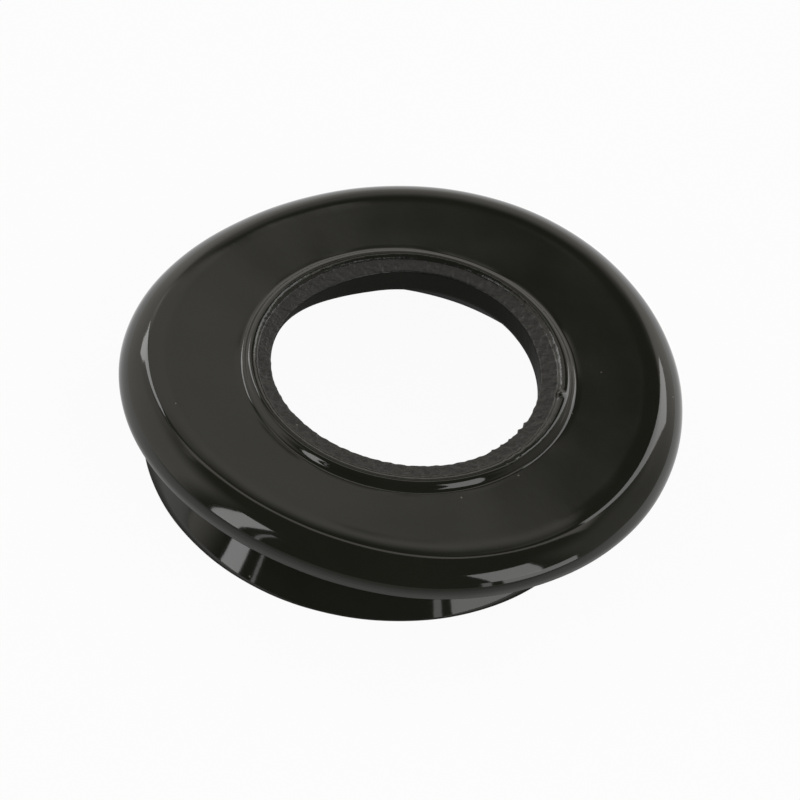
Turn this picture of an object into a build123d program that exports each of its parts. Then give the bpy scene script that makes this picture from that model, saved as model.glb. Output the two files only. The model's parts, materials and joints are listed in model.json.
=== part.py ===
from build123d import *
from math import cos, radians, tan
import os

# A ring-shaped rubber dust cap, moulded in one piece: a flat flange with a rolled outer rim,
# a raised bead and a trimmed ledge round its bore, and a flared skirt that it stands on.
# The bore's axis is Z, and z = 0 is the foot of the skirt. The skirt is round too, but it
# stands a little off the bore's axis, towards -X. Lengths are in millimetres.

# Flange and rolled rim
outer_diameter = 60.0      # over the rolled rim
face_height = 12.2         # from the foot to the flat ring face
rim_height = 4.6           # rolled rim, top to underside
rim_roll = 3.8             # how far in from the edge the roll reaches

# Bore, the ledge where it was trimmed, and the bead outside it
bore_diameter = 28.8
web_thickness = 2.6        # flange between the bore and the skirt, below the flat face
ledge_width = 1.7
ledge_inner_rise = 0.2     # above the flat face, at the bore's edge
ledge_outer_rise = 0.4     # above the flat face, where the bead starts
bead_crest_offset = 0.7    # from the ledge out to the top of the bead
bead_rise = 0.75           # top of the bead above the flat face
bead_run_out = 1.7         # from the top of the bead out to the flat face

# Skirt
foot_diameter = 51.4
skirt_offset = 2.1         # between the bore's axis and the skirt's
skirt_flare = 30.0         # degrees out from the axis, going down
skirt_wall = 1.6
root_fillet = 1.2          # outside, where the skirt meets the rim's underside
web_fillet = 0.8           # inside, where the skirt meets the web
foot_fillet = 0.4

# Radii and heights that follow
bore_radius = bore_diameter / 2
ledge_radius = bore_radius + ledge_width
crest_radius = ledge_radius + bead_crest_offset
roll_start_radius = outer_diameter / 2 - rim_roll
rim_under_z = face_height - rim_height
web_under_z = face_height - web_thickness
flare = tan(radians(skirt_flare))
foot_radius = foot_diameter / 2
foot_inner_radius = foot_radius - skirt_wall / cos(radians(skirt_flare))
root_radius = foot_radius - rim_under_z * flare
web_radius = foot_inner_radius - web_under_z * flare

skirt_axis = Axis((-skirt_offset, 0, 0), (0, 0, 1))
skirt_plane = Plane(origin=(-skirt_offset, 0, 0), x_dir=(1, 0, 0), z_dir=(0, -1, 0))

bore_bottom = (bore_radius, rim_under_z)
ledge_inner = (bore_radius, face_height + ledge_inner_rise)
ledge_outer = (ledge_radius, face_height + ledge_outer_rise)
bead_crest = (crest_radius, face_height + bead_rise)
bead_flank = (crest_radius + bead_run_out / 2, face_height + bead_rise / 2)
bead_foot = (crest_radius + bead_run_out, face_height)
roll_top = (roll_start_radius, face_height)
roll_bottom = (roll_start_radius, rim_under_z)

with BuildPart() as dust_cap:
    # The flange, as thick as its rim all the way in to the bore
    with BuildSketch(Plane.XZ):
        with BuildLine():
            Polyline(bore_bottom, ledge_inner, ledge_outer)
            TangentArc(bead_crest, ledge_outer, tangent=(-1, 0))
            # The bead runs out to the face in two equal arcs, convex then hollow.
            TangentArc(bead_crest, bead_flank, tangent=(1, 0))
            TangentArc(bead_foot, bead_flank, tangent=(-1, 0))
            Line(bead_foot, roll_top)
            EllipticalCenterArc(
                (roll_start_radius, face_height - rim_height / 2),
                x_radius=rim_roll,
                y_radius=rim_height / 2,
                start_angle=-90,
                arc_size=180,
            )
            Line(roll_bottom, bore_bottom)
        make_face()
    revolve(axis=Axis.Z)

    # The skirt, first solid, then hollowed up to the underside of the web
    with BuildSketch(skirt_plane):
        with BuildLine():
            Polyline((0, 0), (foot_radius, 0), (root_radius, rim_under_z), (0, rim_under_z), close=True)
        make_face()
    revolve(axis=skirt_axis)
    with BuildSketch(skirt_plane):
        with BuildLine():
            Polyline((0, 0), (foot_inner_radius, 0), (web_radius, web_under_z), (0, web_under_z), close=True)
        make_face()
    revolve(axis=skirt_axis, mode=Mode.SUBTRACT)

    rings = dust_cap.edges().filter_by(GeomType.CIRCLE).group_by(Axis.Z)
    foot_rings = rings[0]
    root_ring = dust_cap.edges().filter_by(GeomType.CIRCLE).filter_by_position(
        Axis.Z, rim_under_z, rim_under_z
    ).sort_by(SortBy.RADIUS)[0]
    web_ring = dust_cap.edges().filter_by(GeomType.CIRCLE).filter_by_position(
        Axis.Z, web_under_z, web_under_z
    ).sort_by(SortBy.RADIUS)[-1]
    fillet(root_ring, root_fillet)
    fillet(web_ring, web_fillet)
    fillet(foot_rings, foot_fillet)

dust_cap.part.label = "dust_cap"

os.makedirs("parts", exist_ok=True)
export_step(dust_cap.part, "parts/dust_cap.step")
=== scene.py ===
import json
import bpy
import numpy as np
from mathutils import Matrix, Vector

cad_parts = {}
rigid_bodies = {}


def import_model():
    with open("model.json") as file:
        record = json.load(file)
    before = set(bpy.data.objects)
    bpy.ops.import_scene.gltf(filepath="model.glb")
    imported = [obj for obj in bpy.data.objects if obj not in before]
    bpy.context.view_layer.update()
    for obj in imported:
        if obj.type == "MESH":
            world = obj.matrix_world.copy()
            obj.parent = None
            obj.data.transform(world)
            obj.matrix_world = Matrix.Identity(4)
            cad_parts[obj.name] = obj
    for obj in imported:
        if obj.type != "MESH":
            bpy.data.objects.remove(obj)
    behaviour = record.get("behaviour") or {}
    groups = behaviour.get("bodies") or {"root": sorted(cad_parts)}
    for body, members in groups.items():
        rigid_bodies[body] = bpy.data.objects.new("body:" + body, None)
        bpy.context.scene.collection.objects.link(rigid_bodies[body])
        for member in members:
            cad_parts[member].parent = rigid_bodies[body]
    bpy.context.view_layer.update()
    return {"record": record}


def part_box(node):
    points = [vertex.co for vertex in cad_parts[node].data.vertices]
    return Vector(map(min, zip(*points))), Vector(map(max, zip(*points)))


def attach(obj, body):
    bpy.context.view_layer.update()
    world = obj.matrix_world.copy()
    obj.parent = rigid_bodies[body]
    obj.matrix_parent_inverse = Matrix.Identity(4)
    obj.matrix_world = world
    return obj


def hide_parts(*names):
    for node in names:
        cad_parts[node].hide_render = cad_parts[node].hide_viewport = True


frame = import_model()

# The cube, lamp and camera of a new Blender file aren't wanted.
for spare in [thing for thing in bpy.data.objects if thing.name in ("Cube", "Light", "Camera")]:
    bpy.data.objects.remove(spare)


# ---------------------------------------------------------------- the moulding
# The whole cap is one ring of black rubber, moulded and then trimmed at the bore: a flange with
# a rolled rim, a bead, a rough trimmed ledge and a flared skirt. Soft rubber has sprung a little
# out of true since: the flange is faintly three-cornered and the skirt stands to one side.

MM = 0.001
low, high = (np.array(corner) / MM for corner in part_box("dust_cap"))
bore_mount = next(m for m in frame["record"]["mounts"] if m["name"] == "bore")

outer_radius = (high[0] - low[0]) / 2
bore_radius = bore_mount["dims"]["r_mm"]
bore_wall = bore_mount["dims"]["length_mm"]
bead_crest_offset, bead_rise, bead_run_out = 0.7, 0.75, 1.4
ledge_width, ledge_inner_rise, ledge_outer_rise = 1.7, 0.2, 0.4
face_z = high[2] - bead_rise
ledge_radius = bore_radius + ledge_width
crest_radius = ledge_radius + bead_crest_offset
bead_foot_radius = crest_radius + bead_run_out
web_z = face_z + ledge_inner_rise - bore_wall
rim_height = 4.6
foot_radius, skirt_wall, skirt_offset = 25.7, 1.6, 2.1
skirt_flare = np.radians(30.0)
root_fillet, web_fillet, foot_fillet = 1.2, 0.8, 0.2

# The rolled rim from the face outward: each bend's turn in degrees, its radius and its steps.
# A gentle shoulder, a firm crease, a broad fall in two bends, and the lip to the underside.
RIM_BENDS = ((8, 9.0, 6), (14, 2.0, 8), (23, 5.0, 9), (30, 3.2, 7), (105, 1.521, 18))

# How far the rubber is out of true. Each wave has its count round the ring, its reach in mm, and
# the degree at which it peaks.
RIM_WAVES = ((1, 0.49, 75), (2, 0.32, 14), (3, 0.62, -54), (4, 0.08, 1))
rim_shrink = 0.05
RIM_LIFT = ((1, 0.07, 1), (2, 0.18, -63))
BORE_WAVES = ((1, 0.12, 172), (2, 0.14, 38), (3, 0.24, -51))
bore_wave_width = 4.5

# Five small teeth of flash are left on the bore's edge, and one pip stands on the bead. The bore
# was cut at a slant, so its wall dwindles to an edge on the far left. Places are in degrees.
TOOTH_PLACES = (314, 319, 324, 331, 336)
tooth_height, tooth_spread = 0.2, 0.8
pip_place, pip_spread, pip_height = 356, 1.3, 0.3
pip_radius, pip_width = ledge_radius + 0.3, 0.35
slant_place, slant_spread, slant_share = 180, 70, 0.92


def straight(start, end, steps):
    """Evenly spaced points from start up to, but without, end."""
    t = np.arange(steps)[:, None] / steps
    return np.array(start) + t * (np.array(end) - np.array(start))


def bend(start, heading, turn, radius, steps):
    """An arc from start, without its end, and the end: the direction of travel turns clockwise
    from heading by turn degrees, so each point is the centre plus the radius turned so far."""
    aim, turned = np.radians(heading), np.radians(turn) * np.arange(steps + 1) / steps
    side = np.sign(turn) * radius
    centre = np.array(start) + side * np.array([np.sin(aim), -np.cos(aim)])
    points = centre + side * np.stack([-np.sin(aim - turned), np.cos(aim - turned)], axis=1)
    return points[:-1], points[-1]


def ramp(value, start, end):
    """0 where the value is at start or short of it, 1 at end or past it, and an even S between."""
    t = np.clip((value - start) / (end - start), 0, 1)
    return t * t * (3 - 2 * t)


def section():
    """The ring's section as radius and height in mm, from the bore's lower edge up over the
    ledge, bead, face and rim, then down the skirt's outside, up its inside and back to the
    bore: straight lines and arcs laid end to end, each divided into the steps that it ends with.
    With it come the shares, from 0 to 1, of the trimmed finish, the rim's waves, the skirt's
    offset, the bore wall and the face's finish, each at a line's start and end."""
    flare = np.degrees(skirt_flare)
    slope = np.array([np.sin(skirt_flare), -np.cos(skirt_flare)])
    foot_inner = foot_radius - skirt_wall / np.cos(skirt_flare)
    rows = []

    def lay(points, trimmed=(0, 0), waves=(0, 0), offset=(0, 0), wall=(0, 0), satin=(0, 0)):
        t = np.arange(len(points)) / len(points)
        shares = [first + t * (last - first) for first, last in (trimmed, waves, offset, wall, satin)]
        rows.append(np.column_stack([points, *shares]))

    ledge_inner = np.array([bore_radius, face_z + ledge_inner_rise])
    ledge_outer = np.array([ledge_radius, face_z + ledge_outer_rise])
    lay(straight((bore_radius, web_z), ledge_inner, 10), trimmed=(0.1, 0.4), wall=(1, 0))
    lay(straight(ledge_inner, ledge_outer, 10), trimmed=(1, 1))

    rise, run = bead_rise - ledge_outer_rise, crest_radius - ledge_radius
    lip = (run**2 + rise**2) / (2 * rise)
    lip_turn = np.degrees(np.arcsin(run / lip))
    lay(bend(ledge_outer, lip_turn, lip_turn, lip, 7)[0], trimmed=(0.6, 0))
    flank = (bead_run_out**2 + bead_rise**2) / (4 * bead_rise)
    flank_turn = np.degrees(2 * np.arctan(bead_rise / bead_run_out))
    arc, end = bend((crest_radius, face_z + bead_rise), 0, flank_turn, flank, 8)
    lay(arc)
    arc, end = bend(end, -flank_turn, -flank_turn, flank, 8)
    lay(arc)

    rim, heading, at = [], 0, np.zeros(2)
    for turn, radius, steps in RIM_BENDS:
        arc, at = bend(at, heading, turn, radius, steps)
        rim.append(arc)
        heading -= turn
    rim = np.concatenate(rim)
    shift = np.array([outer_radius - rim[:, 0].max(), face_z])
    under = at + shift
    lay(straight(end, shift, 14), waves=(0, 0.9), satin=(1, 1))
    lay(rim + shift, waves=(0.9, 1))

    root_start = foot_radius - under[1] * np.tan(skirt_flare)
    root_start += root_fillet * np.tan((np.pi / 2 + skirt_flare) / 2)
    lay(straight(under, (root_start, under[1]), 4), waves=(1, 0), offset=(0, 1))
    arc, end = bend((root_start, under[1]), 180, -(90 + flare), root_fillet, 7)
    lay(arc, offset=(1, 1))
    foot_reach = foot_fillet / np.tan((np.pi / 2 - skirt_flare) / 2)
    foot_start = np.array([foot_radius, 0]) - slope * foot_reach
    lay(straight(end, foot_start, 10), offset=(1, 1))
    arc, end = bend(foot_start, flare - 90, 90 + flare, foot_fillet, 6)
    lay(arc, offset=(1, 1))
    foot_end = (foot_inner + foot_fillet / np.tan((np.pi / 2 + skirt_flare) / 2), 0)
    lay(straight(end, foot_end, 3), offset=(1, 1))
    arc, end = bend(foot_end, 180, 90 - flare, foot_fillet, 4)
    lay(arc, offset=(1, 1))
    web_corner = np.array([foot_inner - web_z * np.tan(skirt_flare), web_z])
    web_start = web_corner + slope * web_fillet * np.tan((np.pi / 2 - skirt_flare) / 2)
    lay(straight(end, web_start, 9), offset=(1, 1))
    arc, end = bend(web_start, 90 + flare, flare - 90, web_fillet, 5)
    lay(arc, offset=(1, 1))
    lay(straight(end, (bore_radius, web_z), 6), offset=(1, 0), wall=(0, 1))
    return np.concatenate(rows)


def swell(around, along, amplitudes, lengths, seed):
    """Waves in the surface: for each amplitude, three cosines that run in seeded directions,
    with a whole number of waves round the ring of about the given length in mm."""
    middle_radius = 24
    draw = np.random.default_rng(seed)
    total = np.zeros(np.broadcast(around, along).shape)
    for amplitude, length in zip(amplitudes, lengths):
        for angle in draw.uniform(0, np.pi, 3):
            waves = np.round(2 * np.pi * middle_radius / length * np.cos(angle))
            run = 2 * np.pi * np.sin(angle) / length
            total += amplitude * np.cos(waves * around + run * along + draw.uniform(0, 6.28))
    return total


def moulding(turns):
    """The section carried round Z: x = (r + w) cos a - s, y = (r + w) sin a and z = h + l, where
    w is the slow waves of the rim and bore, l the rim's lift and the bore's slant, and s the
    skirt's offset. Each point is also moved along the section's normal: by the swell, which is
    less on the face, by the ledge's torn grain, and outward where the bead's pip stands."""
    radius, height, trimmed, wave_share, offset, wall, satin = section().T[:, :, None]
    a = np.linspace(0, 2 * np.pi, turns, endpoint=False)[None, :]
    degrees = np.degrees(a)
    step_r = np.roll(radius, -1, 0) - np.roll(radius, 1, 0)
    step_z = np.roll(height, -1, 0) - np.roll(height, 1, 0)
    size = np.hypot(step_r, step_z)
    out_r, out_z = -step_z / size, step_r / size
    along = np.cumsum(size / 2, axis=0)

    def round_the_ring(waves):
        return sum(reach * np.cos(count * (a - np.radians(peak))) for count, reach, peak in waves)

    def bump(off, spread):
        return np.exp(-((off / spread) ** 2))

    teeth = sum(bump(degrees - place, tooth_spread) for place in TOOTH_PLACES)
    pip = bump(degrees - pip_place, pip_spread) * bump(radius - pip_radius, pip_width)
    slant = ramp(np.abs(degrees - slant_place), slant_spread, 0)
    near_bore = ramp(radius, bead_foot_radius, bead_foot_radius - bore_wave_width)
    near_bore = near_bore * (height > web_z - 0.1)

    # A positive move is into the rubber. The swell's waves are 17 and 8 mm long and the torn
    # grain's 4 to 1.1 mm, and each length moves the surface by less than 0.04 mm.
    swelling = swell(a, along, (0.012, 0.009), (17, 8), 5)
    grain = swell(a, along, (0.008, 0.008, 0.008, 0.008), (4, 2.6, 1.7, 1.1), 8)
    move = (1 - trimmed) * (1 - 0.6 * satin) * swelling + trimmed * grain
    move = move - pip_height * pip * (height > face_z)
    r = radius - out_r * move + ramp(wave_share, 0, 1) * (round_the_ring(RIM_WAVES) - rim_shrink)
    r = r + near_bore * (round_the_ring(BORE_WAVES) - tooth_height * teeth)
    z = height - out_z * move + ramp(wave_share, 0.9, 0.98) * round_the_ring(RIM_LIFT)
    z = z + wall * slant * slant_share * bore_wall
    x = r * np.cos(a) - offset * skirt_offset
    y = r * np.sin(a)
    points = np.stack([x, y, np.maximum(z, 0) + 0 * x], axis=-1) * MM

    rows, columns = x.shape
    index = np.arange(rows * columns).reshape(rows, columns)
    below = np.roll(index, -1, 0)
    faces = np.stack([index, below, np.roll(below, -1, 1), np.roll(index, -1, 1)], axis=-1)
    mesh = bpy.data.meshes.new("dust_cap_moulding")
    mesh.from_pydata(points.reshape(-1, 3), [], faces.reshape(-1, 4))
    for name, share in (("trimmed", trimmed), ("satin", satin)):
        values = (share + 0 * x).astype(np.float32).ravel()
        mesh.attributes.new(name, "FLOAT", "POINT").data.foreach_set("value", values)
    mesh.shade_smooth()
    cap = bpy.data.objects.new("dust_cap_moulding", mesh)
    bpy.context.scene.collection.objects.link(cap)
    return cap


def linear(code):
    """An sRGB hex colour as the linear colour that the shaders take."""
    srgb = np.array([int(code[i : i + 2], 16) for i in (1, 3, 5)]) / 255
    rgb = np.where(srgb <= 0.04045, srgb / 12.92, ((srgb + 0.055) / 1.055) ** 2.4)
    return (*rgb, 1.0)


def add(tree, kind, settings=(), **sockets):
    """Adds a node with its settings, and gives each named socket a value or a link. A socket's
    name is written with _ for a space, or as in0, in1 and so on for its place."""
    node = tree.nodes.new("ShaderNode" + kind)
    for name, value in dict(settings).items():
        setattr(node, name, value)
    for name, value in sockets.items():
        place = name[2:]
        socket = node.inputs[int(place) if place.isdigit() else name.replace("_", " ")]
        if isinstance(value, bpy.types.NodeSocket):
            tree.links.new(value, socket)
        else:
            socket.default_value = value
    return node


def gloss_rubber():
    """Black rubber from a polished mould: near-black with a faint warm cast, glossy on the rim,
    bead and skirt, a little duller on the face, and torn and dull where it was trimmed. Its IOR
    and roughness are those of a solid, filled rubber."""
    material = bpy.data.materials.new("moulded gloss rubber")
    material.use_nodes = True
    tree = material.node_tree
    tree.nodes.clear()
    place = add(tree, "TexCoord").outputs["Object"]
    trimmed = add(tree, "Attribute", {"attribute_name": "trimmed"}).outputs["Fac"]
    face = add(tree, "Attribute", {"attribute_name": "satin"}).outputs["Fac"]
    # The bloom is cloudy at 9 mm, the mould's peel at 1.2 mm and the torn grain at 0.4 mm.
    cloud = add(tree, "TexNoise", Vector=place, Scale=1 / (9 * MM), Detail=3.0).outputs["Fac"]
    peel = add(tree, "TexNoise", Vector=place, Scale=1 / (1.2 * MM), Detail=2.0).outputs["Fac"]
    torn = add(tree, "TexNoise", Vector=place, Scale=1 / (0.4 * MM), Detail=4.0).outputs["Fac"]

    # A few specks of dust 0.2 mm across lie in cells of 2.6 mm.
    specks = add(tree, "TexVoronoi", Vector=place, Scale=1 / (2.6 * MM))
    near = add(tree, "Math", {"operation": "LESS_THAN"}, in0=specks.outputs["Distance"], in1=0.045)
    chance = add(tree, "SeparateColor", Color=specks.outputs["Color"]).outputs["Red"]
    few = add(tree, "Math", {"operation": "GREATER_THAN"}, in0=chance, in1=0.8)
    dust = add(tree, "Math", {"operation": "MULTIPLY"}, in0=near.outputs[0], in1=few.outputs[0])

    skin = add(tree, "MixRGB", in0=cloud, in1=linear("#191a14"), in2=linear("#262620"))
    cut = add(tree, "MixRGB", in0=torn, in1=linear("#10100e"), in2=linear("#1f1e1b"))
    clean = add(tree, "MixRGB", in0=trimmed, in1=skin.outputs[0], in2=cut.outputs[0])
    colour = add(tree, "MixRGB", in0=dust.outputs[0], in1=clean.outputs[0], in2=linear("#66655b"))
    satin = add(tree, "MapRange", Value=cloud, From_Min=0.3, From_Max=0.7, To_Min=0.11, To_Max=0.15)
    gloss = add(tree, "Mix", in0=face, in2=0.06, in3=satin.outputs[0])
    dull = add(tree, "Mix", in0=trimmed, in2=gloss.outputs[0], in3=0.4)
    skin_bump = add(tree, "Bump", Strength=0.02, Distance=0.1 * MM, Height=peel).outputs[0]
    bump = add(tree, "Bump", Strength=trimmed, Distance=0.1 * MM, Height=torn, Normal=skin_bump)
    surface = add(
        tree, "BsdfPrincipled", Base_Color=colour.outputs[0], Roughness=dull.outputs[0],
        IOR=1.5, Normal=bump.outputs[0],
    )
    add(tree, "OutputMaterial", Surface=surface.outputs[0])
    return material


cap = moulding(turns=600)
cap.data.materials.append(gloss_rubber())
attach(cap, "root")
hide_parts("dust_cap")


# ---------------------------------------------------------------- the floor and the surroundings
# A sheet of white paper lies under the cap. The room beyond the lamps is dim, and shows only as
# the dark that the gloss reflects, so it is a shell that nothing but reflections can see.

def grid_object(name, points, material):
    """A stage piece whose faces join a grid of points."""
    rows, columns = points.shape[:2]
    index = np.arange(rows * columns).reshape(rows, columns)
    faces = np.stack([index[:-1, :-1], index[1:, :-1], index[1:, 1:], index[:-1, 1:]], axis=-1)
    mesh = bpy.data.meshes.new(name)
    mesh.from_pydata(points.reshape(-1, 3), [], faces.reshape(-1, 4))
    mesh.materials.append(material)
    piece = bpy.data.objects.new(name, mesh)
    bpy.context.scene.collection.objects.link(piece)
    return piece


def seen_rays(tree):
    """1 for camera, glossy and transmission rays, and 0 for the rest."""
    path = add(tree, "LightPath")
    bounced = add(
        tree, "Math", {"operation": "MAXIMUM"},
        in0=path.outputs["Is Glossy Ray"], in1=path.outputs["Is Transmission Ray"],
    )
    seen = add(
        tree, "Math", {"operation": "MAXIMUM"},
        in0=path.outputs["Is Camera Ray"], in1=bounced.outputs[0],
    )
    return seen.outputs[0]


def paper():
    """Plain white paper: matt, and shown mostly at full white, with a soft shadow left in it. The
    gloss mirrors that white too, with the cap's shadow painted into it: dimmer under the cap, to a
    tenth, and dimmer toward the front, where it falls to three tenths at 90 mm from the middle."""
    material = bpy.data.materials.new("white paper")
    material.use_nodes = True
    tree = material.node_tree
    tree.nodes.clear()
    place = add(tree, "TexCoord").outputs["Object"]
    away = add(tree, "VectorMath", {"operation": "LENGTH"}, in0=place).outputs["Value"]
    back = add(tree, "SeparateXYZ", Vector=place).outputs["Y"]
    # Painted shadow: under the cap and toward the front, the white that the gloss mirrors is dimmed
    # to stand in for the cap's own shadow on the paper.
    clear = add(tree, "MapRange", Value=away, From_Min=26 * MM, From_Max=36 * MM, To_Min=0.1)
    painted_front_shade = add(tree, "MapRange", Value=back, From_Min=-90 * MM, From_Max=0.0, To_Min=0.3)
    white_with_painted_shadow = add(
        tree, "Math", {"operation": "MULTIPLY"}, in0=clear.outputs[0], in1=painted_front_shade.outputs[0]
    )
    to_camera = add(tree, "LightPath").outputs["Is Camera Ray"]
    strength = add(tree, "Math", {"operation": "MAXIMUM"}, in0=to_camera, in1=white_with_painted_shadow.outputs[0])
    matt = add(tree, "BsdfDiffuse", Color=(0.85, 0.85, 0.85, 1))
    white = add(tree, "Emission", Color=(1, 1, 1, 1), Strength=strength.outputs[0])
    share = add(tree, "Math", {"operation": "MULTIPLY"}, in0=seen_rays(tree), in1=0.95)
    mix = add(tree, "MixShader", in0=share.outputs[0], in1=matt.outputs[0], in2=white.outputs[0])
    add(tree, "OutputMaterial", Surface=mix.outputs[0])
    return material


floor_reach = 3.0
edges = [-floor_reach, floor_reach]
floor_points = np.stack(np.meshgrid(edges, edges, [0.0], indexing="ij"), axis=-1)[:, :, 0]
grid_object("floor", floor_points[::-1], paper())


def dim_room():
    """A half sphere of dim light round the cap, on a grid of azimuth and elevation in degrees.
    The glow is a faint even light, plus a dim band at the sides, brighter on the left, plus a
    low band behind, plus a patch higher up behind that falls off toward the right and upward,
    plus a band of light that arches overhead from side to side and leans back."""
    material = bpy.data.materials.new("dim room")
    material.use_nodes = True
    tree = material.node_tree
    tree.nodes.clear()
    glow = add(tree, "Attribute", {"attribute_name": "glow"}).outputs["Fac"]
    light = add(tree, "Emission", Color=(1.0, 0.96, 0.88, 1), Strength=glow)
    add(tree, "OutputMaterial", Surface=light.outputs[0])

    room_reach = 2.0
    azimuth, elevation = np.meshgrid(np.arange(361), np.arange(-2, 91), indexing="ij")
    az, el = np.radians(azimuth), np.radians(elevation)
    toward = np.stack([np.cos(el) * np.cos(az), np.cos(el) * np.sin(az), np.sin(el)], axis=-1)
    shell = grid_object("room_shell", room_reach * toward, material)

    from_front = np.abs((azimuth + 90 + 180) % 360 - 180)
    from_left = np.abs(azimuth - 180)
    behind = ramp(from_front, 110, 150)
    sides = ramp(from_front, 60, 80) * (1 - behind) * ramp(elevation, 60, 35)
    low_back = behind * ramp(elevation, 41, 28)
    high_back = ramp(elevation + 0.6 * (azimuth - 90), 44.6, 47.2) * ramp(elevation, 62, 50)
    high_back = high_back * ramp(np.abs(azimuth - 98), 30, 18)
    lean = np.radians(17)
    off_arch = np.degrees(np.arcsin(toward[..., 1] * np.cos(lean) - toward[..., 2] * np.sin(lean)))
    arch = ramp(np.abs(off_arch), 7, 4) * ramp(elevation, 48, 58)
    glow = 0.03 + sides * (0.3 + 0.6 * (from_left < 90))
    glow = glow + 0.85 * low_back + 0.74 * high_back + 1.1 * arch
    values = glow.astype(np.float32).ravel()
    shell.data.attributes.new("glow", "FLOAT", "POINT").data.foreach_set("value", values)
    shell.visible_camera = shell.visible_diffuse = shell.visible_shadow = False
    shell.visible_transmission = False


dim_room()


# ---------------------------------------------------------------- the lights
# Soft boxes stand left and right of the cap, before and behind it, and the front ones each have a
# narrow slit of light beside them. They show as the patches and lines in the gloss.

lamp_distance = 0.8


def panel(name, azimuth, elevation, width, height, radiance):
    """A rectangular lamp that faces the cap. Its power is radiance x pi x area."""
    data = bpy.data.lights.new(name, "AREA")
    data.shape = "RECTANGLE"
    data.size, data.size_y = width, height
    data.energy = radiance * np.pi * width * height
    lamp = bpy.data.objects.new(name, data)
    az, el = np.radians([azimuth, elevation])
    toward = Vector((np.cos(el) * np.cos(az), np.cos(el) * np.sin(az), np.sin(el)))
    facing = toward.to_track_quat("Z", "Y").to_matrix().to_4x4()
    lamp.matrix_world = Matrix.Translation(toward * lamp_distance) @ facing
    bpy.context.scene.collection.objects.link(lamp)


# Each has its name, azimuth and elevation in degrees, width and height in metres, and radiance.
for lamp in (
    ("back left strip", 134, 38, 0.16, 0.36, 4.0),
    ("back right strip", 50, 39, 0.22, 0.56, 2.6),
    ("front left strip", 216, 21, 0.14, 0.74, 4.0),
    ("front left slit", 227, 16, 0.02, 0.6, 1.8),
    ("front right panel, top", -44, 31, 0.3, 0.48, 3.0),
    ("front right panel, foot", -35, 7, 0.43, 0.22, 2.6),
    ("front right slit", -56.6, 7, 0.05, 0.2, 1.8),
):
    panel(*lamp)

world = bpy.context.scene.world or bpy.data.worlds.new("studio")
bpy.context.scene.world = world
world.use_nodes = True
sky = world.node_tree
sky.nodes.clear()
fill = add(sky, "Background", Color=(1, 1, 1, 1), Strength=0.3)
white = add(sky, "Background", Color=(1, 1, 1, 1), Strength=1.0)
shown = add(sky, "MixShader", in0=seen_rays(sky), in1=fill.outputs[0], in2=white.outputs[0])
add(sky, "OutputWorld", Surface=shown.outputs[0])
bpy.context.scene.view_settings.view_transform = "Standard"


# ---------------------------------------------------------------- the camera
# It looks down at the front of the cap from 46 degrees, half a metre off, and leans a little.

camera_elevation, camera_lean, camera_distance = np.radians(46.0), np.radians(8.46), 0.5
target = Vector((0, 0, face_z * MM - rim_height * MM / 2))
ahead = Vector((0, np.cos(camera_elevation), -np.sin(camera_elevation)))
level = Vector((1, 0, 0))
upward = level.cross(ahead)
right = np.cos(camera_lean) * level + np.sin(camera_lean) * upward
up = -np.sin(camera_lean) * level + np.cos(camera_lean) * upward
camera_data = bpy.data.cameras.new("camera")
camera_data.sensor_width, camera_data.lens = 36, 210.3
camera_data.shift_x, camera_data.shift_y = -0.0084, -0.0213
camera = bpy.data.objects.new("camera", camera_data)
facing = Matrix((right, up, -ahead)).transposed().to_4x4()
camera.matrix_world = Matrix.Translation(target - ahead * camera_distance) @ facing
bpy.context.scene.collection.objects.link(camera)
bpy.context.scene.camera = camera
